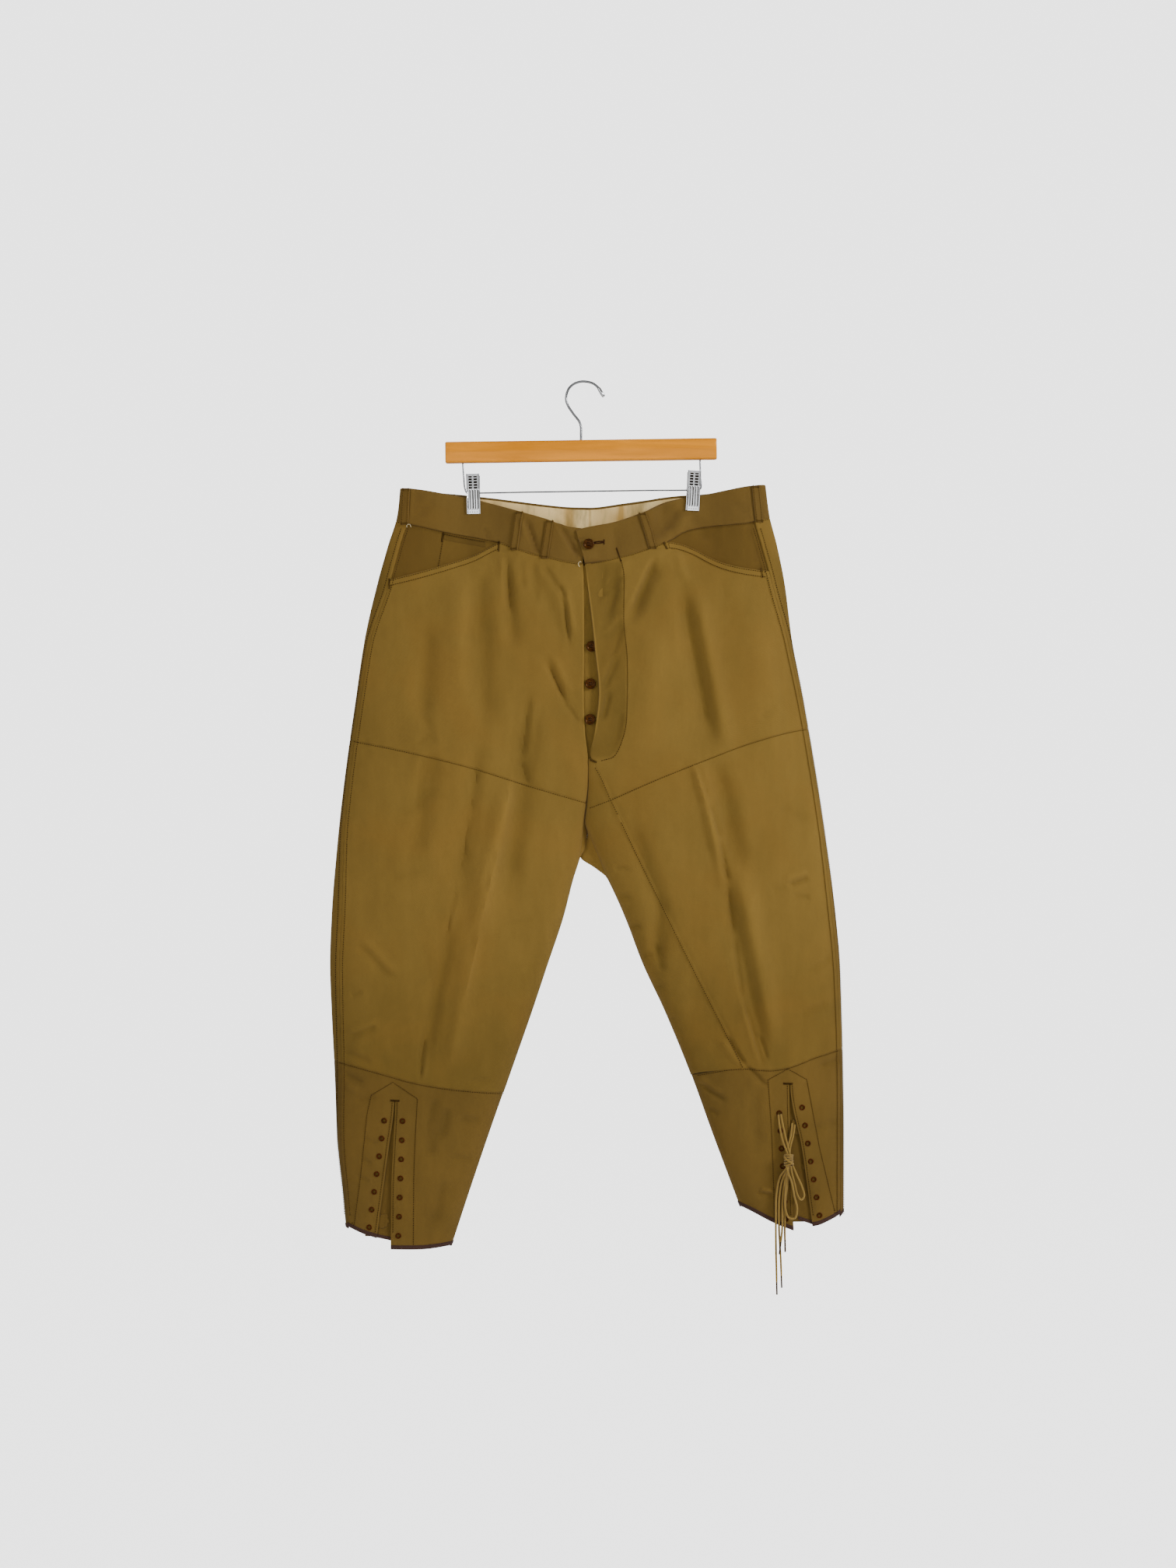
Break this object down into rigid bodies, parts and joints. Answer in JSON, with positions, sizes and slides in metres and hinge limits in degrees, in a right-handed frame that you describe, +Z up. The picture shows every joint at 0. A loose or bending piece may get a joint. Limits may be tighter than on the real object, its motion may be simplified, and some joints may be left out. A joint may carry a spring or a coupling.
{
  "type": "lace-up work breeches on a clip hanger",
  "caption": "Khaki cotton work breeches with a button fly, scooped pockets and laced calves, hanging open-waisted from a wooden hanger with spring clips.",
  "frame": {"origin": "underside of the hanger hook's crown, where a rail or nail bears", "axes": "+Z is up along the hanging garment, -Y is the way the breeches' front faces, +X is toward the wearer's left"},
  "size_m": [0.6614, 0.0655, 1.1752],
  "materials": {
    "twill": "worn khaki cotton twill, slightly brushed",
    "waistband_twill": "khaki cotton twill, doubled and topstitched",
    "calf_twill": "khaki cotton twill, a little darker",
    "shaded_twill": "khaki cotton twill, unfaded under the laps",
    "lining": "cream plain-weave cotton, stained",
    "binding": "dark brown cotton tape",
    "lace": "braided ochre cotton cord",
    "button": "mottled brown",
    "wood": "varnished beech",
    "steel": "bright plated steel wire and sheet"
  },
  "bodies": {
    "root": {"hanger_hook": "steel", "hanger_bar": "wood", "hanger_rod": "steel", "clip_right_front_jaw": "steel", "clip_right_back_jaw": "steel", "clip_right_spring": "steel", "clip_left_front_jaw": "steel", "clip_left_back_jaw": "steel", "clip_left_spring": "steel", "waistband_front_right": "waistband_twill", "waistband_front_left": "waistband_twill", "waistband_back": "waistband_twill", "waistband_lining": "lining", "front_upper_right": "twill", "back_upper_right": "twill", "front_thigh_right": "twill", "back_thigh_right": "twill", "inner_leg_right": "twill", "front_calf_right": "calf_twill", "back_calf_right": "calf_twill", "tongue_right": "shaded_twill", "hem_binding_right": "binding", "front_upper_left": "twill", "back_upper_left": "twill", "front_thigh_left": "twill", "back_thigh_left": "twill", "inner_leg_left": "twill", "front_calf_left": "calf_twill", "back_calf_left": "calf_twill", "tongue_left": "shaded_twill", "hem_binding_left": "binding", "belt_loop_right_side": "waistband_twill", "belt_loop_right_front": "waistband_twill", "belt_loop_right_fly": "waistband_twill", "belt_loop_left_front": "waistband_twill", "belt_loop_left_side": "waistband_twill", "belt_loop_back_right": "waistband_twill", "belt_loop_back_centre": "waistband_twill", "belt_loop_back_left": "waistband_twill", "fly_button_stand": "shaded_twill", "fly_button_upper": "button", "fly_button_middle": "button", "fly_button_lower": "button", "waist_button": "button", "pocket_facing_right": "twill", "pocket_hem_right": "twill", "watch_pocket_welt": "twill", "pocket_facing_left": "twill", "pocket_hem_left": "twill", "lace_first": "lace", "lace_second": "lace", "lace_third": "lace", "lace_fourth": "lace", "bow_short": "lace", "bow_long": "lace", "lace_knot": "lace"}
  },
  "joints": []
}
